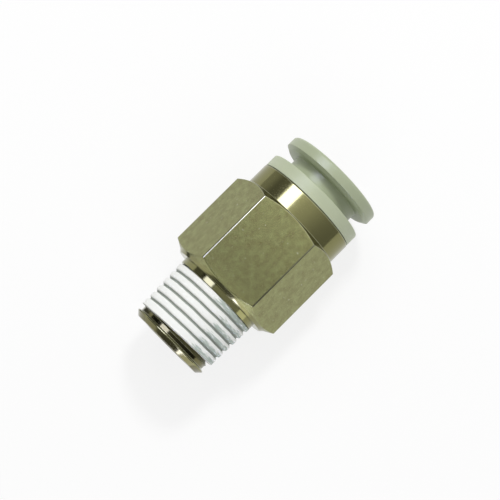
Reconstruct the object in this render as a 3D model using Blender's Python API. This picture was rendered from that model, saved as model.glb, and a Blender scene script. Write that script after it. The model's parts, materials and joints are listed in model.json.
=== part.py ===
"""Straight male push-to-connect fitting: a 10 mm air tube to an R 1/4 taper thread.

Lengths are in metres. Each piece is turned about its own local Z axis, the flow axis, which runs
from the thread's nose to the tube end. An empty lays that axis along world +X, so that the fitting
rests on one flat of its hexagon at Z = 0, centred on the world origin in X and Y.

Radii build up from the tube outwards and from the thread's gauge diameter. Stations are heights
along the flow axis above the nose.
"""

import math

import bmesh
import bpy

# Standard sizes that the fitting is made for
TUBE_DIAMETER = 0.0100
THREAD_GAUGE_DIAMETER = 0.013157
THREAD_GAUGE_LENGTH = 0.0060
THREAD_TAPER = 1 / 16
THREAD_PITCH = 0.001337
THREAD_DEPTH = 0.000856
THREAD_FLANK_ANGLE = math.radians(27.5)

# Body, outside
NOSE_LENGTH = 0.0008
NOSE_CHAMFER = 0.00065
NOSE_RUN_OUT = 0.0002
BARE_THREAD_LENGTH = 0.0012
SHANK_LENGTH = 0.01066
NECK_LENGTH = 0.00086
HEX_LENGTH = 0.01454
HEX_CORNERS = 6
HEX_STEP = 0.00022
HEX_FACE_STEP = 0.0007
HEX_CHAMFER_ANGLE = math.radians(30)
COLLAR_LENGTH = 0.00311
COLLAR_WALL = 0.00093
COLLAR_CHAMFER = 0.00012

# Sealant on the thread
COAT_THICKNESS = 0.00012
COAT_LEAD_LENGTH = 0.00065
COAT_GROOVE_FLOOR = 0.0001
COAT_WEB = 0.0001

# Body, inside
FLOW_BORE_DIAMETER = 0.0070
FLOW_BORE_CHAMFER = 0.0005
TUBE_SEAT_DEPTH = 0.0029
SEAL_SHOULDER = 0.0005
SNAP_HEIGHT = 0.0002
SNAP_LENGTH = 0.0008
SNAP_DEPTH = 0.0012
MOUTH_CHAMFER = 0.0002

# Seal, and the ring that holds it down
SEAL_LENGTH = 0.0031
SEAL_SQUEEZE = 0.00025
SEAL_LIP_REACH = 0.00045
SEAL_GROOVE_WIDTH = 0.0007
SEAL_GROOVE_DEPTH = 0.0013
RETAINER_LENGTH = 0.0011
RETAINER_CHAMFER = 0.0003

# Chuck and the cone that closes it
CHUCK_WALL = 0.00045
WEDGE_HEIGHT = 0.0006
WEDGE_LENGTH = 0.0016
CHUCK_TIP_LENGTH = 0.0005
CHUCK_HOOP_LENGTH = 0.0010
FINGER_COUNT = 8
FINGER_GAP = 0.0007
TOOTH_ROWS = 2
TOOTH_LENGTH = 0.0005
TOOTH_BITE = 0.00012
GUIDE_LIP_LENGTH = 0.0002

# Release button and the collar ring that it slides in
RELEASE_STROKE = 0.0020
BUTTON_STOP_GAP = 0.00005
BUTTON_WALL = 0.00065
BUTTON_FLANGE_DIAMETER = 0.01616
BUTTON_FLANGE_LENGTH = 0.00199
BUTTON_TOP_ROUND = 0.00045
BUTTON_BEVEL_HEIGHT = 0.0004
BUTTON_BEVEL_WIDTH = 0.0007
BUTTON_LEAD_IN = 0.0006
BUTTON_LIP_HEIGHT = 0.00045
BUTTON_LIP_LAND = 0.0003
BUTTON_LIP_TAPER = 0.0006
BUTTON_NOSE_LENGTH = 0.0004
BUTTON_SLIT_COUNT = 4
BUTTON_SLIT_WIDTH = 0.0008
BUTTON_SLIT_LENGTH = 0.0026
RING_FLANGE_LENGTH = 0.00194
RING_INSET = 0.00006
RING_ROUND = 0.0002
RING_BORE_LENGTH = 0.0022
RING_BARREL_WALL = 0.00075

# Clearances
TUBE_CLEARANCE = 0.00015
SLIDE_GAP = 0.0001
SEAT_GAP = 0.00005
STROKE_END_GAP = 0.00015

# Mesh
SEGMENTS = 48
ARC_STEPS = 3
OVERCUT = 0.0005
WELD_DISTANCE = 0.000001
SMOOTH_ANGLE = math.radians(30)

# Radii, from the tube outwards
tube_radius = TUBE_DIAMETER / 2
tube_path_radius = tube_radius + TUBE_CLEARANCE
chuck_radius = tube_path_radius + CHUCK_WALL
wedge_radius = chuck_radius + WEDGE_HEIGHT
guide_throat_radius = chuck_radius + SLIDE_GAP
guide_bore_radius = wedge_radius + SLIDE_GAP
button_neck_radius = tube_path_radius + BUTTON_WALL
button_lip_radius = button_neck_radius + BUTTON_LIP_HEIGHT
button_flange_radius = BUTTON_FLANGE_DIAMETER / 2
ring_bore_radius = button_neck_radius + SLIDE_GAP
ring_pocket_radius = button_lip_radius + SLIDE_GAP
insert_radius = ring_pocket_radius + RING_BARREL_WALL
snap_radius = insert_radius + SNAP_HEIGHT
mouth_radius = insert_radius + SEAT_GAP
groove_radius = snap_radius + SEAT_GAP
seal_pocket_radius = mouth_radius - SEAL_SHOULDER
seal_radius = seal_pocket_radius - SEAT_GAP
collar_radius = groove_radius + COLLAR_WALL
ring_radius = collar_radius - RING_INSET
hex_flat_radius = collar_radius + HEX_STEP
hex_corner_radius = hex_flat_radius / math.cos(math.pi / HEX_CORNERS)
hex_face_radius = hex_flat_radius - HEX_FACE_STEP
flow_radius = FLOW_BORE_DIAMETER / 2

# Stations, from the nose to the tube end
thread_end = SHANK_LENGTH - NECK_LENGTH
sealant_start = NOSE_LENGTH + BARE_THREAD_LENGTH
sealant_end = thread_end - SEAT_GAP
hex_end = SHANK_LENGTH + HEX_LENGTH
mouth = hex_end + COLLAR_LENGTH
ring_seat = mouth + SEAT_GAP
ring_top = ring_seat + RING_FLANGE_LENGTH
ring_shoulder = ring_top - RING_BORE_LENGTH
button_seat = ring_top + RELEASE_STROKE + BUTTON_STOP_GAP
total_length = button_seat + BUTTON_FLANGE_LENGTH

# Stations inside, from the collar ring's shoulder down to the tube stop
button_lip_top = ring_shoulder - SLIDE_GAP
button_lip_end = button_lip_top - BUTTON_LIP_LAND - BUTTON_LIP_TAPER
button_end = button_lip_end - BUTTON_NOSE_LENGTH
ring_end = button_lip_end - RELEASE_STROKE - STROKE_END_GAP
guide_top = ring_end - SEAT_GAP
wedge_top = guide_top - GUIDE_LIP_LENGTH
wedge_end = wedge_top - WEDGE_LENGTH
chuck_top = button_end - SEAT_GAP
chuck_tip = wedge_end - CHUCK_TIP_LENGTH
guide_end = chuck_tip - RELEASE_STROKE - STROKE_END_GAP
retainer_top = guide_end - SEAT_GAP
retainer_end = retainer_top - RETAINER_LENGTH
seal_shoulder = retainer_end - SEAT_GAP
seal_top = seal_shoulder - SEAT_GAP
seal_end = seal_top - SEAL_LENGTH
seal_pocket_end = seal_end - SEAT_GAP
tube_stop = seal_pocket_end - TUBE_SEAT_DEPTH
snap_top = mouth - SNAP_DEPTH
snap_end = snap_top - SNAP_LENGTH


def crest_radius(station):
    """The taper thread's crest radius at a station."""
    return THREAD_GAUGE_DIAMETER / 2 + (station - THREAD_GAUGE_LENGTH) * THREAD_TAPER / 2


def coat_radius(station):
    """The sealant's outside radius over the crests."""
    return crest_radius(station) + COAT_THICKNESS


def shank_radius(station):
    """The plain shank's radius: the thread's mean radius, so that the shank has the thread's volume."""
    return crest_radius(station) - THREAD_DEPTH / 2


def clear_scene():
    for old in list(bpy.data.objects):
        bpy.data.objects.remove(old, do_unlink=True)


def principled(name, colour, roughness, metallic):
    material = bpy.data.materials.new(name)
    material.use_nodes = True
    shader = material.node_tree.nodes["Principled BSDF"]
    shader.inputs["Base Color"].default_value = (*colour, 1.0)
    shader.inputs["Roughness"].default_value = roughness
    shader.inputs["Metallic"].default_value = metallic
    return material


def arc(centre, radius, start, end):
    """Outline points round a circle, from one angle in degrees to another."""
    sweep = [math.radians(start + (end - start) * i / ARC_STEPS) for i in range(ARC_STEPS + 1)]
    return [(centre[0] + radius * math.cos(a), centre[1] + radius * math.sin(a)) for a in sweep]


def mesh_from(bm, name):
    bmesh.ops.remove_doubles(bm, verts=bm.verts, dist=WELD_DISTANCE)
    bmesh.ops.recalc_face_normals(bm, faces=bm.faces)
    mesh = bpy.data.meshes.new(name)
    bm.to_mesh(mesh)
    bm.free()
    mesh.shade_smooth()
    mesh.set_sharp_from_angle(angle=SMOOTH_ANGLE)
    return mesh


def turned(name, outline, solid=False):
    """Spins an outline of (radius, height) points about Z: a closed ring, or a solid from axis to axis."""
    bm = bmesh.new()
    points = [bm.verts.new((radius, 0, height)) for radius, height in outline]
    ends = points[1:] if solid else points[1:] + points[:1]
    edges = [bm.edges.new(pair) for pair in zip(points, ends)]
    bmesh.ops.spin(
        bm,
        geom=points + edges,
        cent=(0, 0, 0),
        axis=(0, 0, 1),
        angle=2 * math.pi,
        steps=SEGMENTS,
        use_merge=True,
    )
    return mesh_from(bm, name)


def block(name, length, width, low, high):
    """A box across the flow axis, from one height to another."""
    bm = bmesh.new()
    half = (length / 2, width / 2)
    signs = ((1, 1), (-1, 1), (-1, -1), (1, -1))
    base = bm.faces.new([bm.verts.new((x * half[0], y * half[1], low)) for x, y in signs])
    raised = bmesh.ops.extrude_face_region(bm, geom=[base])["geom"]
    top = [item for item in raised if isinstance(item, bmesh.types.BMVert)]
    bmesh.ops.translate(bm, verts=top, vec=(0, 0, high - low))
    return mesh_from(bm, name)


def hexagon_bar(name, low, high):
    """A hexagon prism with one pair of flats square to local X."""
    bm = bmesh.new()
    turns = [2 * math.pi * (i + 0.5) / HEX_CORNERS for i in range(HEX_CORNERS)]
    corners = [(hex_corner_radius * math.cos(a), hex_corner_radius * math.sin(a)) for a in turns]
    base = bm.faces.new([bm.verts.new((x, y, low)) for x, y in corners])
    raised = bmesh.ops.extrude_face_region(bm, geom=[base])["geom"]
    top = [item for item in raised if isinstance(item, bmesh.types.BMVert)]
    bmesh.ops.translate(bm, verts=top, vec=(0, 0, high - low))
    return mesh_from(bm, name)


def helical_groove(name, start, end):
    """A wedge between the thread's flanks that winds one pitch a turn and follows the taper."""
    gauge_radius = crest_radius(THREAD_GAUGE_LENGTH)
    floor_radius = shank_radius(THREAD_GAUGE_LENGTH) + SEAT_GAP + COAT_WEB
    rim_radius = coat_radius(THREAD_GAUGE_LENGTH) + COAT_WEB
    floor_half = COAT_GROOVE_FLOOR / 2
    rim_half = floor_half + (rim_radius - floor_radius) * math.tan(THREAD_FLANK_ANGLE)
    section = [
        (floor_radius, -floor_half),
        (floor_radius, floor_half),
        (rim_radius, rim_half),
        (rim_radius, -rim_half),
    ]
    steps = math.ceil(SEGMENTS * (end + rim_half - start) / THREAD_PITCH)
    bm = bmesh.new()
    face = bm.faces.new([bm.verts.new((radius, 0, start + height)) for radius, height in section])
    bmesh.ops.spin(
        bm,
        geom=[face, *face.edges, *face.verts],
        cent=(0, 0, 0),
        axis=(0, 0, 1),
        dvec=(0, 0, THREAD_PITCH / SEGMENTS),
        angle=2 * math.pi * steps / SEGMENTS,
        steps=steps,
        use_merge=False,
    )
    for vert in bm.verts:
        radius = vert.co.xy.length
        vert.co.xy *= 1 + (crest_radius(vert.co.z) - gauge_radius) / radius
    return mesh_from(bm, name)


def place(mesh, parent, station=0.0):
    piece = bpy.data.objects.new(mesh.name, mesh)
    piece.parent = parent
    piece.location = (0, 0, station)
    bpy.context.scene.collection.objects.link(piece)
    return piece


def combine(target, operation, mesh, turn=0.0):
    """Joins a helper shape to a piece, or cuts it away, in the piece's own frame."""
    helper = place(mesh, target)
    helper.rotation_euler = (0, 0, turn)
    helper.hide_render = True
    helper.display_type = "WIRE"
    modifier = target.modifiers.new(mesh.name, "BOOLEAN")
    modifier.operation = operation
    modifier.solver = "EXACT"
    modifier.object = helper


def make_axis():
    axis = bpy.data.objects.new("flow_axis", None)
    axis.location = (-total_length / 2, 0, hex_flat_radius)
    axis.rotation_euler = (0, math.pi / 2, 0)
    bpy.context.scene.collection.objects.link(axis)
    return axis


def make_hex_body(axis):
    """Hexagon bar, chamfered at both ends, with the shank and collar turned on it and a stepped bore."""
    body = place(hexagon_bar("hex_body", SHANK_LENGTH - OVERCUT, hex_end + OVERCUT), axis)
    body.data.materials.append(principled("nickel_plated_brass", (0.42, 0.42, 0.30), 0.32, 1.0))

    blank_radius = hex_corner_radius + OVERCUT
    chamfer = (blank_radius - hex_face_radius) * math.tan(HEX_CHAMFER_ANGLE)
    blank = [
        (0, SHANK_LENGTH),
        (hex_face_radius, SHANK_LENGTH),
        (blank_radius, SHANK_LENGTH + chamfer),
        (blank_radius, hex_end - chamfer),
        (hex_face_radius, hex_end),
        (0, hex_end),
    ]
    combine(body, "INTERSECT", turned("hexagon_chamfers", blank, solid=True))

    nose_radius = crest_radius(NOSE_LENGTH)
    run_out_end = NOSE_LENGTH + NOSE_RUN_OUT
    neck_radius = coat_radius(thread_end)
    hex_middle = SHANK_LENGTH + HEX_LENGTH / 2
    ends = [
        (0, 0),
        (nose_radius - NOSE_CHAMFER, 0),
        (nose_radius, NOSE_CHAMFER),
        (nose_radius, NOSE_LENGTH),
        (shank_radius(run_out_end), run_out_end),
        (shank_radius(thread_end), thread_end),
        (neck_radius, thread_end),
        (neck_radius, hex_middle),
        (collar_radius, hex_middle),
        (collar_radius, mouth - COLLAR_CHAMFER),
        (collar_radius - COLLAR_CHAMFER, mouth),
        (0, mouth),
    ]
    combine(body, "UNION", turned("turned_ends", ends, solid=True))

    bore = [
        (0, -OVERCUT),
        (flow_radius + FLOW_BORE_CHAMFER + OVERCUT, -OVERCUT),
        (flow_radius, FLOW_BORE_CHAMFER),
        (flow_radius, tube_stop),
        (tube_path_radius, tube_stop),
        (tube_path_radius, seal_pocket_end),
        (seal_pocket_radius, seal_pocket_end),
        (seal_pocket_radius, seal_shoulder),
        (mouth_radius, seal_shoulder),
        (mouth_radius, snap_end - SEAT_GAP),
        (groove_radius, snap_end - SEAT_GAP),
        (groove_radius, snap_top + SEAT_GAP),
        (mouth_radius, snap_top + SEAT_GAP),
        (mouth_radius, mouth - MOUTH_CHAMFER),
        (mouth_radius + MOUTH_CHAMFER + OVERCUT, mouth + OVERCUT),
        (0, mouth + OVERCUT),
    ]
    combine(body, "DIFFERENCE", turned("stepped_bore", bore, solid=True))


def make_thread_sealant(axis):
    """The coat on the taper thread: a feathered front, then a groove along the thread to the neck."""
    feather = THREAD_DEPTH / 4
    outline = [
        (shank_radius(sealant_start) + SEAT_GAP, sealant_start),
        (coat_radius(sealant_start) - feather, sealant_start),
        (coat_radius(sealant_start + feather), sealant_start + feather),
        (coat_radius(sealant_end), sealant_end),
        (shank_radius(sealant_end) + SEAT_GAP, sealant_end),
    ]
    sealant = place(turned("thread_sealant", outline), axis)
    sealant.data.materials.append(principled("sealant_white", (0.80, 0.81, 0.78), 0.75, 0.0))
    groove = helical_groove("coat_groove", sealant_start + COAT_LEAD_LENGTH, sealant_end)
    combine(sealant, "DIFFERENCE", groove)


def make_tube_seal(axis):
    """A lip seal: the groove on its pressure side spreads the lip against the tube."""
    lip_radius = tube_radius - SEAL_SQUEEZE
    lip_thickness = SEAL_SQUEEZE
    groove_middle = (lip_radius + seal_radius) / 2
    outline = [
        (seal_radius, SEAL_SQUEEZE),
        (seal_radius, SEAL_LENGTH),
        (tube_path_radius, SEAL_LENGTH),
        (tube_path_radius, SEAL_GROOVE_DEPTH + SEAL_LIP_REACH),
        (lip_radius, SEAL_LIP_REACH),
        (lip_radius + lip_thickness, 0),
        (groove_middle - SEAL_GROOVE_WIDTH / 2, 0),
        (groove_middle, SEAL_GROOVE_DEPTH),
        (groove_middle + SEAL_GROOVE_WIDTH / 2, 0),
        (seal_radius - SEAL_SQUEEZE, 0),
    ]
    seal = place(turned("tube_seal", outline), axis, seal_end)
    seal.data.materials.append(principled("seal_rubber", (0.02, 0.02, 0.02), 0.65, 0.0))


def make_seal_retainer(axis):
    """A ring on the body's shoulder, bevelled where the tube enters it."""
    outline = [
        (tube_path_radius, 0),
        (insert_radius, 0),
        (insert_radius, RETAINER_LENGTH),
        (tube_path_radius + RETAINER_CHAMFER, RETAINER_LENGTH),
        (tube_path_radius, RETAINER_LENGTH - RETAINER_CHAMFER),
    ]
    retainer = place(turned("seal_retainer", outline), axis, retainer_end)
    retainer.data.materials.append(principled("retainer_resin", (0.62, 0.62, 0.58), 0.5, 0.0))


def make_guide(axis):
    """A ring whose inner cone narrows towards the tube end."""
    outline = [
        (guide_bore_radius, 0),
        (insert_radius, 0),
        (insert_radius, guide_top - guide_end),
        (guide_throat_radius, guide_top - guide_end),
        (guide_throat_radius, wedge_top - guide_end),
        (guide_bore_radius, wedge_end - guide_end),
    ]
    guide = place(turned("guide", outline), axis, guide_end)
    guide.data.materials.append(principled("guide_steel", (0.55, 0.54, 0.52), 0.3, 1.0))


def make_chuck(axis):
    """A collet: fingers under a hoop, with an outer wedge to match the guide and biting edges inside."""
    length = chuck_top - chuck_tip
    tip_chamfer = CHUCK_TIP_LENGTH / 2
    outline = [
        (tube_path_radius, 0),
        (wedge_radius - tip_chamfer, 0),
        (wedge_radius, tip_chamfer),
        (wedge_radius, CHUCK_TIP_LENGTH),
        (chuck_radius, CHUCK_TIP_LENGTH + WEDGE_LENGTH),
        (chuck_radius, length),
        (tube_path_radius, length),
    ]
    for row in reversed(range(TOOTH_ROWS)):
        root = TOOTH_LENGTH * (row + 0.5)
        outline += [
            (tube_path_radius, root + TOOTH_LENGTH / 2),
            (tube_radius - TOOTH_BITE, root),
        ]
    outline.append((tube_path_radius, TOOTH_LENGTH / 4))

    chuck = place(turned("chuck", outline), axis, chuck_tip)
    chuck.data.materials.append(principled("chuck_steel", (0.60, 0.59, 0.57), 0.25, 1.0))
    span = 2 * wedge_radius + OVERCUT
    for pair in range(FINGER_COUNT // 2):
        slot = block(f"finger_gap_{pair}", span, FINGER_GAP, -OVERCUT, length - CHUCK_HOOP_LENGTH)
        combine(chuck, "DIFFERENCE", slot, 2 * math.pi * (pair + 0.5) / FINGER_COUNT)


def make_collar_ring(axis):
    """A flanged bush: its rib snaps into the body's groove, and its shoulder holds the button's lip in."""
    barrel_end = ring_end - ring_seat
    shoulder = ring_shoulder - ring_seat
    top = RING_FLANGE_LENGTH
    lead = SNAP_HEIGHT
    outline = [
        (ring_pocket_radius, barrel_end),
        (insert_radius - lead, barrel_end),
        (insert_radius, barrel_end + lead),
        (insert_radius, snap_end - ring_seat),
        (snap_radius, snap_end - ring_seat + SNAP_HEIGHT),
        (snap_radius, snap_top - ring_seat),
        (insert_radius, snap_top - ring_seat),
        (insert_radius, 0),
        *arc((ring_radius - RING_ROUND, RING_ROUND), RING_ROUND, -90, 0),
        *arc((ring_radius - RING_ROUND, top - RING_ROUND), RING_ROUND, 0, 90),
        (ring_bore_radius + RING_ROUND, top),
        (ring_bore_radius, top - RING_ROUND),
        (ring_bore_radius, shoulder),
        (ring_pocket_radius, shoulder),
    ]
    ring = place(turned("collar_ring", outline), axis, ring_seat)
    ring.data.materials.append(principled("collar_resin", (0.48, 0.53, 0.38), 0.55, 0.0))


def make_release_button(axis):
    """A flanged sleeve, held in by a lip on its slit end, which pushes the chuck off its cone."""
    nose_radius = chuck_radius
    end = button_end - button_seat
    lip_end = button_lip_end - button_seat
    lip_top = button_lip_top - button_seat
    top = BUTTON_FLANGE_LENGTH
    top_centre = (button_flange_radius - BUTTON_TOP_ROUND, top - BUTTON_TOP_ROUND)
    outline = [
        (tube_path_radius, end),
        (nose_radius, end),
        (nose_radius, lip_end),
        (button_lip_radius, lip_end + BUTTON_LIP_TAPER),
        (button_lip_radius, lip_top),
        (button_neck_radius, lip_top),
        (button_neck_radius, 0),
        (button_flange_radius - BUTTON_BEVEL_WIDTH, 0),
        (button_flange_radius, BUTTON_BEVEL_HEIGHT),
        *arc(top_centre, BUTTON_TOP_ROUND, 0, 90),
        (tube_path_radius + BUTTON_LEAD_IN, top),
        (tube_path_radius, top - BUTTON_LEAD_IN),
    ]
    button = place(turned("release_button", outline), axis, button_seat)
    button.data.materials.append(principled("button_resin", (0.40, 0.45, 0.31), 0.5, 0.0))
    span = 2 * button_lip_radius + OVERCUT
    for pair in range(BUTTON_SLIT_COUNT // 2):
        slit = block(f"slit_{pair}", span, BUTTON_SLIT_WIDTH, end - OVERCUT, end + BUTTON_SLIT_LENGTH)
        combine(button, "DIFFERENCE", slit, 2 * math.pi * pair / BUTTON_SLIT_COUNT)


def main():
    clear_scene()
    axis = make_axis()
    make_hex_body(axis)
    make_thread_sealant(axis)
    make_tube_seal(axis)
    make_seal_retainer(axis)
    make_guide(axis)
    make_chuck(axis)
    make_collar_ring(axis)
    make_release_button(axis)


main()
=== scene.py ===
"""A straight male push-to-connect air fitting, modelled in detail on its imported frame.

Stations are X positions along the flow axis, which runs from the thread's nose to the tube end.
Angles about that axis are measured from straight up, towards +Y. Lengths are in metres.
"""

import json
import math
from itertools import product

import bmesh
import bpy
from bpy.props import FloatProperty, FloatVectorProperty, IntProperty, PointerProperty
from mathutils import Matrix, Vector, noise


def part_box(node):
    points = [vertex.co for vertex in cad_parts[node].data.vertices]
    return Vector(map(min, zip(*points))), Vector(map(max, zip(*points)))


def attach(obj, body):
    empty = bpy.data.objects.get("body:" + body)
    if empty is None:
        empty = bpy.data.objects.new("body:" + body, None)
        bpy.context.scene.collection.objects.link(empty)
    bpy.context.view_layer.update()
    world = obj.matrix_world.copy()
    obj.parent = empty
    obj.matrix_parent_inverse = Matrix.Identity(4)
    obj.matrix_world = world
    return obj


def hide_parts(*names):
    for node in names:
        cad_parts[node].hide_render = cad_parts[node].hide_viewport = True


bl_info = {
    "name": "Push-to-connect fitting",
    "version": (1, 0, 0),
    "blender": (4, 5, 0),
    "location": "View3D > Sidebar > Fitting",
    "description": "Models a straight male push-to-connect air fitting, piece by piece",
    "category": "Add Mesh",
}

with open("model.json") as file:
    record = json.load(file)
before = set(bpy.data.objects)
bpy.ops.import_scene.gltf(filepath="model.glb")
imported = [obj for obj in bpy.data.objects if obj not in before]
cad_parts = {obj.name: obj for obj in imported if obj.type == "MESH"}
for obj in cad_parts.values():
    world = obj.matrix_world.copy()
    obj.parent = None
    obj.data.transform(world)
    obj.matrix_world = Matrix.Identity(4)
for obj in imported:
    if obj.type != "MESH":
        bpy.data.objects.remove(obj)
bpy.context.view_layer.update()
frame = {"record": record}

BODY_LOW, BODY_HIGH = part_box("hex_body")
COAT_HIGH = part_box("thread_sealant")[1]
SEAL_LOW, SEAL_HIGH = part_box("tube_seal")
RETAINER_LOW, RETAINER_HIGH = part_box("seal_retainer")
GUIDE_LOW, GUIDE_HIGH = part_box("guide")
CHUCK_LOW, CHUCK_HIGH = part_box("chuck")
RING_LOW, RING_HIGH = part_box("collar_ring")
BUTTON_LOW, BUTTON_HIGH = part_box("release_button")
MOUNTS = {mount["name"]: mount for mount in frame["record"]["mounts"]}

AXIS_Z = (BODY_LOW.z + BODY_HIGH.z) / 2
AXIS_POINT = Vector((0, 0, AXIS_Z))
FLOW = Vector((1, 0, 0))
FULL_TURN = 2 * math.pi
HEX_SIDES = 6
HEX_COLUMNS = 23
CORNER_COLUMNS = 8
LATHE_STEPS = 144
THREAD_STEPS = 144
ARC_STEPS = 6
WELD = 0.000001
SQUARE_MM = 0.000001
SHARP = math.radians(24)

# The body's finishes, in the order of its materials
SATIN, TURNED, BARE = range(3)
# How the body's faces are told apart: share of a radius, lean along the axis, radians off a flat
NEAR = 0.01
END_TILT = 0.1
NOSE_TILT = -0.5
FLAT_TURN = 0.02
CORNER_TURN = 0.1

# How far the hidden walls of the thread and of its sealant run on
TUCK = 0.0001
# The bare tooth, from root to root: share of the pitch, and share of the depth below the crest
BARE_TOOTH = ((0.0, 1.0), (0.09, 1.0), (0.42, 0.04), (0.5, 0.0), (0.58, 0.04), (0.91, 1.0))
# The sealant, from its groove to its ridge: share of the pitch, and share of the groove's depth
COAT_RISE = (
    (0.0, 1.0),
    (0.055, 0.93),
    (0.095, 0.72),
    (0.135, 0.46),
    (0.17, 0.26),
    (0.205, 0.12),
    (0.25, 0.04),
    (0.32, 0.01),
    (0.5, 0.0),
)
# How far the sealant's core lies below the crests, in thread depths
CORE_DEPTHS = 1.5
# Where the groove opens: turns along the thread, or radians from the top towards -Y
GROOVE_OPENS = (1.2, 1.4)
GROOVE_BEHIND = (1.7, 2.9)
# The share of the groove's depth at which its painted shade starts, and is darkest; the sealant is also
# thinner there
GROOVE_SHADE = (0.25, 0.75)
# Where the sealant gets painted shade, with streaks of thin sealant: on each turn's flank that faces the
# nose, in turns past its root, and over the whole last ridge next to the hexagon
SHADED_ROOT = (0.04, 0.12)
SHADED_CREST = 0.42
CREST_FADE = 0.25
LAST_CREST = 0.5
LAST_FADE = 0.1
# The fades round the thread, in radians towards -Y: about the shade angle, and from the top
SHADE_START = (-0.2, 0.25)
SHADE_END = (2.0, 2.8)
# How finely noise varies the sealant's height, its ridges' places and its front edge
RIPPLE_SCALE = 900
WANDER_SCALE = 550
FRONT_SCALE = 600
# Where the sealant rises to its full height, about its front edge
FRONT_SLOPE = (-0.0001, 0.00008)
# The chuck's biting edges and the places between: pitches from the tip, and whether it bites
BITING_EDGES = ((2.0, False), (1.5, True), (1.1, False), (0.5, True))

# The tent's cloth: degrees from overhead towards +Y, and radiance
TENT_BANDS = (
    (-89, 0.4),
    (-84, 0.28),
    (-55, 0.36),
    (-45, 0.42),
    (-31, 0.53),
    (-15, 0.7),
    (2, 0.83),
    (14, 1.04),
    (47, 0.95),
    (52, 0.2),
    (62, 0.24),
    (72, 0.19),
    (82, 0.32),
    (89, 0.42),
)
# How its radiance grows along the flow axis: station and factor
TENT_FADE = (
    (-0.59, 0.05),
    (-0.06, 0.06),
    (-0.012, 0.14),
    (0.025, 0.15),
    (0.05, 0.94),
    (0.065, 1.15),
    (0.08, 1.22),
    (0.12, 1.9),
    (0.2, 2.5),
    (0.59, 2.6),
)
# The even light of its nose end, beyond the bands: station and radiance
TENT_TIP = (
    (-0.59, 0.5),
    (-0.24, 0.45),
    (-0.13, 0.0),
    (0.59, 0.0),
)
TENT_REACH = 0.5
TENT_SPAN = 1.2
TENT_STEPS = 48

WHITE = (1, 1, 1, 1)
COOL = (0.72, 0.72, 1.0, 1)
COLD = (0.6, 0.6, 1.0, 1)
FLOOR_WHITE = (0.95, 0.95, 0.95, 1)
FLOOR_SIZE = 2.0
# How much of the room's white the floor shows to gloss and glass
FLOOR_MIRRORED = 0.65
# How the floor pales into the room: distance from the middle, and share of the room's white
FLOOR_PALES = {"From Min": 0.06, "From Max": 0.4, "To Min": 0.8, "To Max": 1.0}

# The lamps' distance from the axis, and their sizes along it and across it
LAMP_REACH = 0.4
STRIP_EXTENT = (0.26, 0.19)
KEY_EXTENT = (0.06, 0.06)
SIDE_EXTENT = (0.3, 0.3)
# What metal sees of the strip lamp: the stations of its two cards, and degrees from overhead
STRIP_STATIONS = (0.045, 0.115)
TAIL_STATIONS = (-0.035, 0.045)
STRIP_ANGLES = (20.6, 47.4)
# Flat cards: name, radiance, tint and two opposite corners
FLAT_CARDS = (
    ("nose_card", 1.7, WHITE, (-0.085, -0.2, 0.0005), (-0.03, 0, 0.0005)),
    ("nose_dusk", 1.1, WHITE, (-0.085, 0, 0.0005), (-0.03, 0.2, 0.0005)),
    ("nose_shade", 0.2, WHITE, (-0.11, -0.03, 0), (-0.11, 0.022, 0.055)),
    ("side_shade", 0.3, WHITE, (-0.11, 0.022, 0), (-0.11, 0.075, 0.055)),
    ("glint_card", 14.0, COLD, (-0.11, -0.078, 0), (-0.11, -0.03, 0.075)),
    ("relief_shade", 0.15, WHITE, (-0.0195, 0.012, 0.0006), (-0.0145, 0.49, 0.0006)),
    ("kerb_card", 0.54, WHITE, (0, 0.055, 0), (0.3, 0.055, 0.014)),
    ("step_card", 0.3, WHITE, (0, -0.055, 0.011), (0.3, -0.055, 0.016)),
)
# Cards round the neck: name, radiance, stations and degrees from overhead
NECK_CARDS = (
    ("neck_card", 0.55, (-0.0078, -0.0048), (14, -58)),
    ("shoulder_card", 1.9, (-0.0078, -0.0045), (-60, -88)),
    ("dusk_card", 0.2, (-0.0078, -0.0045), (50, 75)),
    ("far_card", 1.0, (-0.0078, -0.0045), (76, 89)),
)
NECK_CARD_REACH = 0.025


def length(name, description, default):
    """A length property, in metres."""
    return FloatProperty(
        name=name, description=description, default=default, min=0, precision=5, unit="LENGTH"
    )


def turn(name, description, degrees):
    """An angle property, given in degrees."""
    return FloatProperty(
        name=name, description=description, default=math.radians(degrees), subtype="ANGLE"
    )


def colour(name, description, default):
    """A colour property, in linear values."""
    return FloatVectorProperty(
        name=name, description=description, default=default, min=0, max=1, size=3, subtype="COLOR"
    )


def number(name, description, default):
    """A plain number property."""
    return FloatProperty(name=name, description=description, default=default)


def fraction(name, description, default):
    """A property between 0 and 1."""
    return FloatProperty(
        name=name, description=description, default=default, min=0, max=1, subtype="FACTOR"
    )


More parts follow.
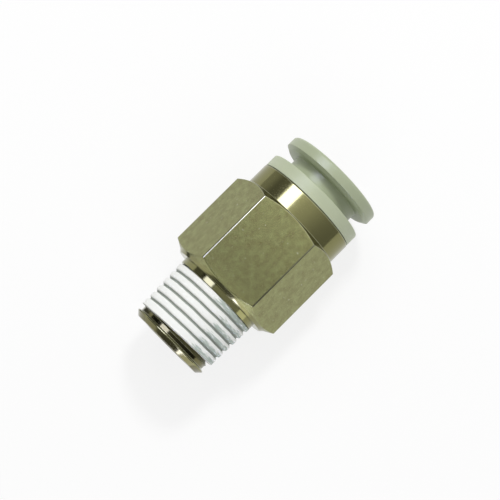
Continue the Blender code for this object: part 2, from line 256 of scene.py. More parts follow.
class BodySizes(bpy.types.PropertyGroup):
    """Sizes of the brass body."""

    across_flats: length("Across flats", "Spanner size of the hexagon", BODY_HIGH.z - BODY_LOW.z)
    corner_round: length("Corner round", "Radius along the hexagon's edges", 0.0003)
    hex_start: length("Hexagon start", "Distance from the nose to the hexagon", 0.01066)
    hex_length: length("Hexagon length", "Length of the hexagon along the axis", 0.01454)
    face_step: length("Face step", "How far the collar side's chamfer reaches in", 0.0007)
    front_step: length("Front step", "How far the thread side's chamfer reaches in", 0.00004)
    front_bevel: length("Front bevel", "Bevel between the thread side's end and its chamfer", 0.000475)
    chamfer: turn("Chamfer", "Angle of the hexagon's end chamfers", 30)
    flat_margin: length("Flat margin", "Width of the rows that keep the flats' ends crisp", 0.0003)
    collar_diameter: length("Collar diameter", "Outside diameter of the collar", 0.01656)
    collar_break: length("Collar break", "Width of the broken edge at the mouth", 0.00012)
    nose_diameter: length("Nose diameter", "Diameter of the plain land behind the nose's chamfer", 0.01283)
    nose_length: length("Nose length", "Distance from the nose to the end of that land", 0.0008)
    nose_chamfer: length("Nose chamfer", "Width of the chamfer at the nose", 0.00065)
    relief_diameter: length("Relief diameter", "Diameter of the plain band behind the nose", 0.01202)
    relief_end: length("Relief end", "Distance from the nose to where the thread begins", 0.0016)
    core_inset: length("Core inset", "How far the core lies under that band", 0.0005)
    neck_diameter: length("Neck diameter", "Diameter of the neck under the hexagon", 0.01364)
    neck_length: length("Neck length", "Length of the neck under the hexagon", 0.00086)
    flow_bore: length("Flow bore", "Diameter of the bore through the thread", 0.007)
    flow_chamfer: length("Flow chamfer", "Width of that bore's chamfer at the nose", 0.0005)
    tube_bore: length("Tube bore", "Diameter of the bore that the tube goes into", 0.0103)
    mouth_bore: length("Mouth bore", "Diameter of the bore in the collar", 0.0143)
    seal_bore: length("Seal bore", "Diameter of the pocket that holds the seal", 0.0133)
    step_break: length("Step break", "Width of the slopes at the steps", 0.0002)
    edge_round: length("Edge round", "Width of the broken edges", 0.00007)


class ThreadSizes(bpy.types.PropertyGroup):
    """Sizes of the taper thread and of the dried sealant on it."""

    gauge_diameter: length("Gauge diameter", "Crest diameter at the gauge plane", 0.013157)
    gauge_length: length("Gauge length", "Distance from the nose to the gauge plane", 0.006)
    pitch: length("Pitch", "Distance between crests, 19 to the inch", 0.001337)
    depth: length("Depth", "Height of the thread from root to crest", 0.000856)
    taper: number("Taper", "Growth in diameter along the axis", 1 / 16)
    lead_slope: number("Lead slope", "How steeply the first turn rises", 1.1)
    wall: length("Wall", "Depth of the thread's brass under the relief band", 0.0012)
    groove_station: length("Groove station", "Where the root passes the top, from the nose", 0.00065)
    coat_proud: length("Coat height", "Sealant thickness over the crests", 0.00014)
    coat_front: length("Coat front", "Where the sealant starts at the top, from the nose", 0.00197)
    coat_sway: length("Coat sway", "How far the sealant's front edge sways with the thread", 0.0003)
    coat_groove: length("Groove depth", "Depth of the groove left in the sealant", 0.00038)
    coat_turns: number("Coat turns", "Turns up to the last ridge", 6)
    # Where the painted shade on the sealant starts, from the top towards -Y
    shade_angle: turn("Brush angle", "From the top to where the sealant is brushed thin", 20)
    coat_ripple: length("Coat ripple", "Height of the sealant's unevenness", 0.000022)


class PlasticSizes(bpy.types.PropertyGroup):
    """Sizes of the moulded ring and button."""

    ring_flange: length("Ring flange", "Thickness of the ring's flange", 0.00194)
    ring_round: length("Ring round", "Radius of the ring's edges", 0.00016)
    ring_bore: length("Ring bore", "Bore that the button's neck slides in", 0.0118)
    ring_pocket: length("Ring pocket", "Bore that the button's lip slides in", 0.0127)
    ring_barrel: length("Ring barrel", "Outside diameter of the ring's barrel", 0.0142)
    ring_shoulder: length("Ring shoulder", "Length of the bore over the lip", 0.0022)
    ring_edge: length("Ring edge", "Width of the ring's broken edges", 0.00005)
    snap_height: length("Snap height", "Height of the rib that snaps into the body", 0.0002)
    snap_length: length("Snap length", "Length of that rib", 0.0008)
    snap_depth: length("Snap depth", "Depth of that rib inside the mouth", 0.0012)
    button_flange: length("Button flange", "Thickness of the button's flange", 0.00199)
    button_round: length("Button round", "Radius of the flange's outer edge", 0.00045)
    button_bevel: length("Button bevel", "Height of the bevel under the flange", 0.0004)
    button_splay: length("Button splay", "Width of the bevel under the flange", 0.0007)
    button_neck: length("Button neck", "Diameter of the button's neck", 0.0116)
    button_fillet: length("Button fillet", "Radius between the neck and the flange", 0.00015)
    button_bore: length("Button bore", "Bore that the tube goes through", 0.0103)
    button_lead: length("Button lead-in", "Width of the rounded mouth for the tube", 0.0006)
    button_edge: length("Button edge", "Width of the button's broken edges", 0.00004)
    button_lip: length("Button lip", "Diameter of the lip that holds the button in", 0.0125)
    lip_foot: length("Lip foot", "Length of the plain end before the lip", 0.0004)
    lip_step: length("Lip step", "How far that end is below the neck", 0.0002)
    lip_rise: length("Lip rise", "Length of the slope up to the lip", 0.0006)
    lip_land: length("Lip land", "Length of the lip itself", 0.0003)
    slit_width: length("Slit width", "Width of the slits in the button's end", 0.0008)
    slit_length: length("Slit length", "Length of the slits in the button's end", 0.0026)
    slit_count: IntProperty(name="Slits", description="Number of slits in the end", default=4, min=2)


class ChuckSizes(bpy.types.PropertyGroup):
    """Sizes of the steel chuck that grips the tube."""

    wall_radius: length("Wall radius", "Outside radius of the fingers", 0.0056)
    wedge_length: length("Wedge length", "Length of the wedge's slope", 0.0016)
    tip_length: length("Tip length", "Length of the finger tips", 0.0005)
    hoop_length: length("Hoop length", "Length of the hoop that joins the fingers", 0.001)
    tooth_bite: length("Tooth bite", "How far the biting edges reach into the bore", 0.00027)
    tooth_pitch: length("Tooth pitch", "Distance between the biting edges", 0.0005)
    finger_gap: length("Finger gap", "Width of the slots between the fingers", 0.0007)
    finger_edge: length("Finger edge", "Width of the broken edges", 0.00003)
    finger_count: IntProperty(name="Fingers", description="Number of fingers", default=8, min=3)


class InnerSizes(bpy.types.PropertyGroup):
    """Sizes of the cone guide, the seal's retainer and the lip seal."""

    cone_room: length("Cone room", "Room between the guide and the chuck", 0.0001)
    ring_edge: length("Ring edge", "Width of the guide's and retainer's broken edges", 0.00005)
    lead_in: length("Lead-in", "Width of the chamfer in the retainer's bore", 0.0003)
    lip_reach: length("Lip reach", "How far the seal's lip reaches into the bore", 0.0004)
    lip_land: length("Lip land", "Distance from the seal's end to its tightest place", 0.00045)
    lip_length: length("Lip length", "Distance from the seal's end to where its lip begins", 0.00175)
    notch_width: length("Notch width", "Width of the groove behind the lip", 0.0007)
    notch_depth: length("Notch depth", "Depth of the groove behind the lip", 0.0013)
    seal_slope: length("Seal slope", "Width of the slopes at the seal's end", 0.00025)
    seal_edge: length("Seal edge", "Width of the seal's rounded edges", 0.00008)


class FinishColours(bpy.types.PropertyGroup):
    """Colours of the finishes, and how rough the smooth ones are."""

    nickel: colour("Nickel", "Nickel plate on brass", (0.276, 0.291, 0.128))
    nickel_dull: colour("Dull nickel", "Darker clouds in the plate", (0.206, 0.198, 0.084))
    nickel_polished: colour("Polished nickel", "Plate on turned faces", (0.226, 0.22, 0.097))
    # Darker than the turned plate; it covers the bare thread and the band behind the nose
    nickel_thread: colour("Thread nickel", "Plate on the bare thread", (0.16, 0.15, 0.07))
    # Bright pits in the plate, and a painted highlight along its broken edges
    nickel_pits_and_sheen: colour("Bright nickel", "Rubbed edges of the plate", (0.42, 0.43, 0.33))
    sealant: colour("Sealant", "Dried thread sealant", (0.93, 0.94, 0.915))
    # Painted shade in the sealant's groove, where the sealant is also thinner, and the colour of its dirt
    # specks
    sealant_shade_and_dirt: colour("Thin sealant", "Sealant where it is thin", (0.33, 0.36, 0.32))
    # Painted shade on the sealant's flanks that face the nose, on its -Y side and its last ridge, with
    # streaks of thin sealant
    sealant_shade_and_streaks: colour("Worn sealant", "Sealant brushed thin over the metal", (0.46, 0.53, 0.48))
    ring: colour("Ring resin", "Moulded resin of the ring", (0.48, 0.53, 0.37))
    button: colour("Button resin", "Moulded resin of the button", (0.39, 0.437, 0.292))
    retainer: colour("Retainer resin", "Moulded resin of the retainer", (0.55, 0.55, 0.50))
    rubber: colour("Rubber", "Nitrile rubber of the seal", (0.018, 0.018, 0.019))
    steel: colour("Steel", "Stainless steel of the chuck and guide", (0.45, 0.44, 0.41))
    polished_rough: fraction("Polished roughness", "Roughness of turned faces", 0.08)
    thread_rough: fraction("Thread roughness", "Roughness of the bare thread", 0.07)
    ring_rough: fraction("Ring roughness", "Roughness of the ring", 0.33)
    button_rough: fraction("Button roughness", "Roughness of the button", 0.28)
    retainer_rough: fraction("Retainer roughness", "Roughness of the retainer", 0.46)


class StageSettings(bpy.types.PropertyGroup):
    """The camera, the lamps and the room."""

    distance: length("Distance", "From the camera to the flow axis", 0.225)
    focus_station: length("Focus station", "Where the camera looks along the axis", 0.00085)
    side_step: length("Side step", "How far the camera stands aside, towards +Y", 0.00115)
    tilt: turn("Tilt", "How far the camera leans towards the nose", 5.35)
    lean: turn("Lean", "How far the camera leans towards -Y", 1.26)
    roll: turn("Roll", "Angle of the flow axis across the picture", 44.82)
    lens: number("Lens", "Focal length in mm", 112.5)
    lamp_angle: turn("Lamp angle", "From overhead to the strip lamp, towards +Y", 34)
    lamp_lean: turn("Lamp lean", "From overhead to the strip lamp, towards the tube end", 14)
    key_angle: turn("Key angle", "From overhead to the key lamp, towards +Y", 20)
    key_lean: turn("Key lean", "From overhead to the key lamp, towards the tube end", 31)
    side_angle: turn("Side angle", "From overhead to the side lamp, towards +Y", -55)
    side_lean: turn("Side lean", "From overhead to the side lamp, towards the tube end", -35)
    strip_glow: number("Strip glow", "Radiance of the strip lamp", 1.6)
    card_glow: number("Card glow", "What metal sees on the strip", 12.0)
    tail_glow: number("Tail glow", "What metal sees on its nose end", 7.0)
    key_glow: number("Key glow", "Radiance of the key lamp", 65)
    side_glow: number("Side glow", "Radiance of the side lamp", 0.85)
    fill_glow: number("Fill glow", "Radiance of the room", 0.44)


class FittingSettings(bpy.types.PropertyGroup):
    """All the fitting's settings."""

    body: PointerProperty(type=BodySizes)
    thread: PointerProperty(type=ThreadSizes)
    plastic: PointerProperty(type=PlasticSizes)
    chuck: PointerProperty(type=ChuckSizes)
    inner: PointerProperty(type=InnerSizes)
    finish: PointerProperty(type=FinishColours)
    stage: PointerProperty(type=StageSettings)


def on_axis(station, radius, angle):
    """A point at a station along the flow axis, at a radius and an angle about it."""
    return Vector((station, radius * math.sin(angle), AXIS_Z + radius * math.cos(angle)))


def polar(point):
    """A point's radius from the flow axis and its angle about it."""
    return math.hypot(point.y, point.z - AXIS_Z), math.atan2(point.y, point.z - AXIS_Z)


def arc(station, radius, size, start, end):
    """Corners of a rounded edge in an outline: centre, size, and degrees from the radial direction."""
    steps = range(ARC_STEPS + 1)
    angles = [math.radians(start + (end - start) * step / ARC_STEPS) for step in steps]
    return [(station + size * math.sin(a), radius + size * math.cos(a)) for a in angles]


def spin_ring(bm, outline):
    """Turns a closed outline of (station, radius) corners into a ring about the flow axis."""
    corners = [bm.verts.new(on_axis(x, r, 0)) for x, r in outline]
    edges = [bm.edges.new(pair) for pair in zip(corners, corners[1:] + corners[:1])]
    bmesh.ops.spin(
        bm, geom=corners + edges, cent=AXIS_POINT, axis=FLOW, angle=FULL_TURN,
        steps=LATHE_STEPS, use_merge=True,
    )


def spin_blocks(bm, outline, count, gap):
    """Turns a closed outline into equal blocks round the flow axis, with gaps between them."""
    share = FULL_TURN / count
    steps = max(2, round(LATHE_STEPS * (share - gap) / FULL_TURN))
    for index in range(count):
        start = index * share + gap / 2
        face = bm.faces.new([bm.verts.new(on_axis(x, r, start)) for x, r in outline])
        bmesh.ops.spin(
            bm, geom=[face, *face.edges, *face.verts], cent=AXIS_POINT, axis=FLOW,
            angle=share - gap, steps=steps, use_merge=False,
        )


def break_edges(bm, width, segments=2):
    """Bevels the sharp edges and marks the new faces, which get a painted highlight."""
    sheen = bm.faces.layers.float.new("edge_sheen")
    sharp = [e for e in bm.edges if len(e.link_faces) == 2 and e.calc_face_angle() > SHARP]
    made = bmesh.ops.bevel(
        bm, geom=sharp, offset=width, offset_type="OFFSET", segments=segments,
        profile=0.5, affect="EDGES", clamp_overlap=True, material=-1,
    )
    for face in made["faces"]:
        face[sheen] = 1.0


def turned_ring(outline, width, segments=2):
    """A ring turned from a closed outline, with its edges broken."""
    bm = bmesh.new()
    spin_ring(bm, outline)
    break_edges(bm, width, segments)
    return bm


def even_normals(bm):
    """Vertex normals weighted by face area, so broken edges shade as narrow rounds between flat faces."""
    bm.verts.index_update()
    sums = [Vector() for vert in bm.verts]
    for face in bm.faces:
        weighted = face.normal * face.calc_area() / SQUARE_MM
        for vert in face.verts:
            sums[vert.index] += weighted
    return [total.normalized() for total in sums]


def finish_piece(bm, name, body, materials, node=None):
    """Makes the piece from its bmesh, lets it ride on its body and hides the imported part that it
    replaces.
    """
    bmesh.ops.remove_doubles(bm, verts=bm.verts, dist=WELD)
    bmesh.ops.recalc_face_normals(bm, faces=bm.faces)
    for face in bm.faces:
        face.smooth = True
    normals = even_normals(bm)
    mesh = bpy.data.meshes.new(name)
    bm.to_mesh(mesh)
    bm.free()
    mesh.normals_split_custom_set_from_vertices(normals)
    for material in materials:
        mesh.materials.append(material)
    piece = bpy.data.objects.new(name, mesh)
    bpy.context.scene.collection.objects.link(piece)
    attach(piece, body)
    if node:
        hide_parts(node)


def add_node(tree, kind, values=None, **settings):
    """Adds a shader node, with its settings and its unlinked inputs."""
    node = tree.nodes.new(kind)
    for key, value in settings.items():
        setattr(node, key, value)
    for key, value in (values or {}).items():
        node.inputs[key].default_value = value
    return node


def wire(tree, *links):
    """Links nodes: each link is a node and its output, then a node and its input."""
    for source, output, target, socket in links:
        tree.links.new(source.outputs[output], target.inputs[socket])


def clouds_and_grain(tree, start, end):
    """Soft clouds and a fine grain: how an even finish varies over a surface."""
    place = add_node(tree, "ShaderNodeTexCoord")
    cloud = add_node(tree, "ShaderNodeTexNoise", {"Detail": 5, "Roughness": 0.65})
    grain = add_node(tree, "ShaderNodeTexNoise", {"Detail": 4, "Roughness": 0.65})
    centre = add_node(tree, "ShaderNodeMath", {1: 0.5}, operation="SUBTRACT")
    spread = add_node(tree, "ShaderNodeMath", operation="MULTIPLY")
    lift = add_node(tree, "ShaderNodeMath", {1: 0.5}, operation="ADD", use_clamp=True)
    wire(
        tree,
        (place, "Object", cloud, "Vector"),
        (place, "Object", grain, "Vector"),
        (start, "Cloud Scale", cloud, "Scale"),
        (start, "Grain Scale", grain, "Scale"),
        (cloud, "Fac", centre, 0),
        (centre, 0, spread, 0),
        (start, "Contrast", spread, 1),
        (spread, 0, lift, 0),
        (lift, 0, end, "Clouds"),
        (grain, "Fac", end, "Grain"),
    )


def turning_lines(tree, start, end):
    """Fine lines round the flow axis, as a lathe tool or a turned mould leaves them."""
    place = add_node(tree, "ShaderNodeTexCoord")
    along = add_node(tree, "ShaderNodeMapping", {"Scale": (1, 0.012, 0.012)})
    lines = add_node(tree, "ShaderNodeTexNoise", {"Detail": 5, "Roughness": 0.7})
    wire(
        tree,
        (place, "Object", along, "Vector"),
        (along, "Vector", lines, "Vector"),
        (start, "Line Scale", lines, "Scale"),
        (lines, "Fac", end, "Lines"),
    )


def edge_sheen_mask(tree, start, end):
    """A broken mask along the broken edges, where the finish gets a painted highlight."""
    place = add_node(tree, "ShaderNodeTexCoord")
    edge = add_node(tree, "ShaderNodeAttribute", attribute_name="edge_sheen")
    breaks = add_node(tree, "ShaderNodeTexNoise", {"Detail": 2, "Roughness": 0.5})
    patchy = add_node(tree, "ShaderNodeMath", operation="MULTIPLY")
    limited = add_node(tree, "ShaderNodeMath", operation="MULTIPLY", use_clamp=True)
    wire(
        tree,
        (place, "Object", breaks, "Vector"),
        (start, "Scale", breaks, "Scale"),
        (edge, "Fac", patchy, 0),
        (breaks, "Fac", patchy, 1),
        (patchy, 0, limited, 0),
        (start, "Amount", limited, 1),
        (limited, 0, end, "Mask"),
    )


def specks(tree, start, end):
    """Small scattered specks with soft edges."""
    place = add_node(tree, "ShaderNodeTexCoord")
    dots = add_node(tree, "ShaderNodeTexNoise", {"Detail": 2, "Roughness": 0.4})
    soft = add_node(tree, "ShaderNodeMath", {1: 0.06}, operation="ADD")
    cut = add_node(tree, "ShaderNodeMapRange", {"To Min": 1.0, "To Max": 0.0})
    wire(
        tree,
        (place, "Object", dots, "Vector"),
        (start, "Scale", dots, "Scale"),
        (start, "Share", soft, 0),
        (dots, "Fac", cut, "Value"),
        (start, "Share", cut, "From Min"),
        (soft, 0, cut, "From Max"),
        (cut, "Result", end, "Mask"),
    )


# Each node group's inputs and outputs, all of them plain values
GROUP_SOCKETS = {
    clouds_and_grain: (("Cloud Scale", "Grain Scale", "Contrast"), ("Clouds", "Grain")),
    turning_lines: (("Line Scale",), ("Lines",)),
    edge_sheen_mask: (("Amount", "Scale"), ("Mask",)),
    specks: (("Scale", "Share"), ("Mask",)),
}


def new_material(name, metallic=0.0, roughness=0.5):
    """A material with only a Principled shader in it, and the tree and shader to build on."""
    material = bpy.data.materials.get(name) or bpy.data.materials.new(name)
    material.use_nodes = True
    tree = material.node_tree
    tree.nodes.clear()
    shader = add_node(tree, "ShaderNodeBsdfPrincipled", {"Metallic": metallic, "Roughness": roughness})
    wire(tree, (shader, "BSDF", add_node(tree, "ShaderNodeOutputMaterial"), "Surface"))
    return material, tree, shader


def place_group(tree, build, **values):
    """Places a node group with its own values, and builds it if this is its first place."""
    group = bpy.data.node_groups.get(build.__name__)
    if group is None:
        group = bpy.data.node_groups.new(build.__name__, "ShaderNodeTree")
        for side, labels in zip(("INPUT", "OUTPUT"), GROUP_SOCKETS[build]):
            for label in labels:
                group.interface.new_socket(name=label, in_out=side, socket_type="NodeSocketFloat")
        build(group, group.nodes.new("NodeGroupInput"), group.nodes.new("NodeGroupOutput"))
    named = {key.replace("_", " ").title(): value for key, value in values.items()}
    return add_node(tree, "ShaderNodeGroup", named, node_tree=group)


def mix_colours(tree, mask, low, high):
    """Mixes two colours by a mask; either colour may be the output of another node."""
    node = add_node(tree, "ShaderNodeMix", data_type="RGBA")
    tree.links.new(mask, node.inputs["Factor"])
    for socket, source in ((node.inputs[6], low), (node.inputs[7], high)):
        if isinstance(source, bpy.types.NodeSocket):
            tree.links.new(source, socket)
        else:
            socket.default_value = (*source, 1)
    return node.outputs[2]


def paint(tree, shader, tone, mask, rough_from, rough_to):
    """Gives the shader its colour, and a roughness that a mask leads from one value to another."""
    node = add_node(tree, "ShaderNodeMapRange", {"To Min": rough_from, "To Max": rough_to})
    tree.links.new(mask, node.inputs["Value"])
    tree.links.new(node.outputs["Result"], shader.inputs["Roughness"])
    tree.links.new(tone, shader.inputs["Base Color"])


def bump(tree, shader, height, depth, strength):
    """Feeds a height to the shader's normal."""
    node = add_node(tree, "ShaderNodeBump", {"Strength": strength, "Distance": depth})
    tree.links.new(height, node.inputs["Height"])
    tree.links.new(node.outputs["Normal"], shader.inputs["Normal"])


def scaled(tint, factor):
    """A colour made darker or lighter, up to white."""
    return [min(1.0, factor * channel) for channel in tint]


def nickel_satin(finish):
    """Nickel plate over drawn brass: satin, faintly clouded and pitted."""
    material, tree, shader = new_material("nickel_satin", metallic=1.0)
    clouds = place_group(tree, clouds_and_grain, cloud_scale=1000, grain_scale=5200, contrast=2.8)
    sheen_mask = place_group(tree, edge_sheen_mask, amount=0.9, scale=1600)
    pits = place_group(tree, specks, scale=2600, share=0.23)
    tone = mix_colours(tree, clouds.outputs["Clouds"], finish.nickel_dull, finish.nickel)
    pitted = mix_colours(tree, pits.outputs["Mask"], tone, finish.nickel_pits_and_sheen)
    # A painted highlight along the broken edges
    edged = mix_colours(tree, sheen_mask.outputs["Mask"], pitted, finish.nickel_pits_and_sheen)
    paint(tree, shader, edged, clouds.outputs["Clouds"], rough_from=0.275, rough_to=0.25)
    bump(tree, shader, clouds.outputs["Grain"], depth=0.000015, strength=0.25)
    return material


def nickel_turned(name, tint, finish, rough):
    """Nickel plate over turned brass: polished, with faint tool lines round the axis."""
    material, tree, shader = new_material(name, metallic=1.0)
    clouds = place_group(tree, clouds_and_grain, cloud_scale=700, grain_scale=6000, contrast=1.0)
    lines = place_group(tree, turning_lines, line_scale=9000)
    sheen_mask = place_group(tree, edge_sheen_mask, amount=0.9, scale=1600)
    tone = mix_colours(tree, clouds.outputs["Clouds"], scaled(tint, 0.93), tint)
    # A painted highlight along the broken edges
    edged = mix_colours(tree, sheen_mask.outputs["Mask"], tone, finish.nickel_pits_and_sheen)
    paint(tree, shader, edged, lines.outputs["Lines"], rough_from=rough, rough_to=2.5 * rough)
    bump(tree, shader, lines.outputs["Lines"], depth=0.000004, strength=0.3)
    return material


def bare_nickel(finish):
    """The plate on the bare thread and on the band behind the nose."""
    return nickel_turned("nickel_thread", finish.nickel_thread, finish, finish.thread_rough)


def dried_sealant(finish):
    """Chalky white sealant with dirt specks, thinner and with painted shade in its grooves, and with
    painted shade and thin streaks on one side.
    """
    material, tree, shader = new_material("dried_sealant")
    clouds = place_group(tree, clouds_and_grain, cloud_scale=1500, grain_scale=9000, contrast=1.6)
    dirt = place_group(tree, specks, scale=3000, share=0.12)
    groove = add_node(tree, "ShaderNodeAttribute", attribute_name="groove")
    painted_shade = add_node(tree, "ShaderNodeAttribute", attribute_name="painted_shade")
    place = add_node(tree, "ShaderNodeTexCoord")
    along = add_node(tree, "ShaderNodeMapping", {"Scale": (1, 0.16, 0.16)})
    streaks = add_node(tree, "ShaderNodeTexNoise", {"Scale": 4600, "Detail": 3, "Roughness": 0.6})
    # A mask for painted shade on the flanks, broken by streaks of thin sealant
    edge = add_node(tree, "ShaderNodeMath", {1: 2.6}, operation="MULTIPLY_ADD")
    brushed = add_node(tree, "ShaderNodeMapRange", {"From Min": 1.75, "From Max": 2.3})
    wire(
        tree,
        (place, "Object", along, "Vector"),
        (along, "Vector", streaks, "Vector"),
        (streaks, "Fac", edge, 0),
        (painted_shade, "Fac", edge, 2),
        (edge, 0, brushed, "Value"),
    )
    # Painted shade on the flanks and the last ridge
    shaded_flanks = mix_colours(tree, brushed.outputs["Result"], finish.sealant, finish.sealant_shade_and_streaks)
    soiled = mix_colours(tree, dirt.outputs["Mask"], shaded_flanks, finish.sealant_shade_and_dirt)
    # Painted shade in the groove, where the sealant is also thinner
    thin = mix_colours(tree, groove.outputs["Fac"], soiled, finish.sealant_shade_and_dirt)
    paint(tree, shader, thin, clouds.outputs["Clouds"], rough_from=0.65, rough_to=0.85)
    bump(tree, shader, clouds.outputs["Grain"], depth=0.00003, strength=0.5)
    return material


def moulded_resin(name, tint, rough):
    """Pale moulded resin: satin, with faint flow clouds, lines from the mould and a painted highlight
    along its edges.
    """
    material, tree, shader = new_material(name)
    clouds = place_group(tree, clouds_and_grain, cloud_scale=420, grain_scale=7000, contrast=1.2)
    lines = place_group(tree, turning_lines, line_scale=5200)
    sheen_mask = place_group(tree, edge_sheen_mask, amount=0.35, scale=1300)
    tone = mix_colours(tree, clouds.outputs["Clouds"], scaled(tint, 0.9), tint)
    # A painted highlight along the broken edges, lighter than the resin
    edged = mix_colours(tree, sheen_mask.outputs["Mask"], tone, scaled(tint, 1.18))
    paint(tree, shader, edged, lines.outputs["Lines"], rough_from=rough, rough_to=1.5 * rough)
    bump(tree, shader, clouds.outputs["Grain"], depth=0.000012, strength=0.3)
    return material


def seal_rubber(finish):
    """Dark nitrile rubber with a faint bloom."""
    material, tree, shader = new_material("nitrile_rubber")
    clouds = place_group(tree, clouds_and_grain, cloud_scale=800, grain_scale=8000, contrast=1.4)
    tone = mix_colours(tree, clouds.outputs["Clouds"], finish.rubber, scaled(finish.rubber, 2.2))
    paint(tree, shader, tone, clouds.outputs["Clouds"], rough_from=0.45, rough_to=0.62)
    bump(tree, shader, clouds.outputs["Grain"], depth=0.00001, strength=0.3)
    return material


def spring_steel(finish):
    """Stainless strip, bright, with fine lines from rolling and stamping."""
    material, tree, shader = new_material("spring_steel", metallic=1.0)
    clouds = place_group(tree, clouds_and_grain, cloud_scale=900, grain_scale=7000, contrast=1.0)
    lines = place_group(tree, turning_lines, line_scale=12000)
    sheen_mask = place_group(tree, edge_sheen_mask, amount=0.6, scale=1800)
    tone = mix_colours(tree, clouds.outputs["Clouds"], scaled(finish.steel, 0.85), finish.steel)
    # A painted highlight along the broken edges, lighter than the steel
    edged = mix_colours(tree, sheen_mask.outputs["Mask"], tone, scaled(finish.steel, 1.25))
    paint(tree, shader, edged, lines.outputs["Lines"], rough_from=0.16, rough_to=0.3)
    bump(tree, shader, lines.outputs["Lines"], depth=0.000005, strength=0.3)
    return material


def hexagon_loop(bm, sizes):
    """A loop of edges round the axis whose columns follow a hexagon with rounded corners."""
    flat = sizes.across_flats / 2
    corner = flat / math.cos(math.pi / HEX_SIDES)
    upright = Matrix.Translation(AXIS_POINT) @ Matrix.Rotation(math.pi / 2, 4, "Y")
    bmesh.ops.create_circle(bm, cap_ends=True, segments=HEX_SIDES, radius=corner, matrix=upright)
    bmesh.ops.bevel(
        bm, geom=bm.verts[:], offset=sizes.corner_round * math.tan(math.pi / HEX_SIDES),
        offset_type="OFFSET", segments=CORNER_COLUMNS, profile=0.5, affect="VERTICES", material=-1,
    )
    bmesh.ops.delete(bm, geom=bm.faces[:], context="FACES_ONLY")
    flats = [edge for edge in bm.edges if edge.calc_length() > flat / 2]
    bmesh.ops.subdivide_edges(bm, edges=flats, cuts=HEX_COLUMNS)
    reach = bm.verts.layers.float.new("hex_reach")
    for vert in bm.verts:
        vert[reach] = polar(vert.co)[0]
    return bm.edges[:]


def set_row(bm, verts, row):
    """Moves a loop to a row: round at a radius, or out to the hexagon and along its end chamfer."""
    station, radius, slope = row
    reach = bm.verts.layers.float["hex_reach"]
    for vert in verts:
        angle = polar(vert.co)[1]
        if slope is None:
            vert.co = on_axis(station, radius, angle)
        else:
            vert.co = on_axis(station + slope * (vert[reach] - radius), vert[reach], angle)


def extrude_rows(bm, loop, rows):
    """Extrudes a loop from row to row and closes it on its first row."""
    set_row(bm, bm.verts, rows[0])
    for row in rows[1:] + rows[:1]:
        made = bmesh.ops.extrude_edge_only(bm, edges=loop)["geom"]
        verts = {item for item in made if isinstance(item, bmesh.types.BMVert)}
        edges = [item for item in made if isinstance(item, bmesh.types.BMEdge)]
        loop = [edge for edge in edges if verts.issuperset(edge.verts)]
        set_row(bm, verts, row)
    bmesh.ops.remove_doubles(bm, verts=bm.verts, dist=WELD)


def body_rows(sizes):
    """The body's rows, from the nose over the outside to the mouth, and back through the bore."""
    nose = BODY_LOW.x
    mouth = BODY_HIGH.x
    start = nose + sizes.hex_start
    end = start + sizes.hex_length
    flat = sizes.across_flats / 2
    front = flat - sizes.front_step
    front_start = start + sizes.front_bevel
    face = flat - sizes.face_step
    slope = math.tan(sizes.chamfer)
    collar = sizes.collar_diameter / 2
    land = sizes.nose_diameter / 2
    land_end = nose + sizes.nose_length
    relief = sizes.relief_diameter / 2
    relief_end = nose + sizes.relief_end
    neck = sizes.neck_diameter / 2
    neck_start = start - sizes.neck_length
    core = relief - sizes.core_inset
    flow = sizes.flow_bore / 2
    seat = sizes.tube_bore / 2
    pocket = sizes.seal_bore / 2
    mouth_bore = sizes.mouth_bore / 2
    stop = MOUNTS["tube_stop"]["pos_m"][0]
    outside = [
        (nose, land - sizes.nose_chamfer, None),
        (nose + sizes.nose_chamfer, land, None),
        (land_end, land, None),
        (land_end + sizes.step_break, relief, None),
        (relief_end, relief, None),
        (relief_end + sizes.step_break, core, None),
        (neck_start - sizes.step_break, core, None),
        (neck_start, neck, None),
        (start, neck, None),
        (start, front - sizes.front_bevel, None),
        (front_start, front, None),
        (front_start, front, slope),
        (front_start + sizes.flat_margin, front, slope),
        (end - sizes.flat_margin, face, -slope),
        (end, face, -slope),
        (end - slope * (collar - face), collar, None),
        (mouth - sizes.collar_break, collar, None),
        (mouth, collar - sizes.collar_break, None),
    ]
    inside = [
        (mouth, mouth_bore + sizes.step_break, None),
        (mouth - sizes.step_break, mouth_bore, None),
        (RETAINER_LOW.x, mouth_bore, None),
        (RETAINER_LOW.x, pocket, None),
        (SEAL_LOW.x, pocket, None),
        (SEAL_LOW.x, seat, None),
        (stop, seat, None),
        (stop, flow, None),
        (nose + sizes.flow_chamfer, flow, None),
        (nose, flow + sizes.flow_chamfer, None),
    ]
    return outside + inside


def sort_body_faces(bm, sizes):
    """Gives each face of the body its finish, and marks where the hexagon's edges get a painted highlight.
    """
    flat = (1 - NEAR) * sizes.across_flats / 2
    collar = (1 + NEAR) * sizes.collar_diameter / 2
    land = (1 - NEAR) * sizes.nose_diameter / 2
    relief_end = BODY_LOW.x + sizes.relief_end + sizes.edge_round
    sheen = bm.faces.layers.float["edge_sheen"]
    bm.normal_update()
    for face in bm.faces:
        centre = face.calc_center_median()
        radius = polar(centre)[0]
        facing = math.atan2(face.normal.y, face.normal.z)
        off_flat = abs(math.remainder(facing, FULL_TURN / HEX_SIDES))
        on_side = radius > flat and abs(face.normal.x) < END_TILT
        on_chamfer = radius > collar and face.normal.x > END_TILT
        drawn = on_chamfer or (on_side and off_flat < FLAT_TURN)
        face.material_index = SATIN if drawn else TURNED
        if centre.x < relief_end and radius < land and face.normal.x > NOSE_TILT:
            face.material_index = BARE
        # No painted highlight on faces that lean towards the tube end; a painted highlight along all of
        # the hexagon's rounded corners
        if face.normal.x > END_TILT:
            face[sheen] = 0.0
        if on_side and off_flat > CORNER_TURN:
            face[sheen] = 1.0


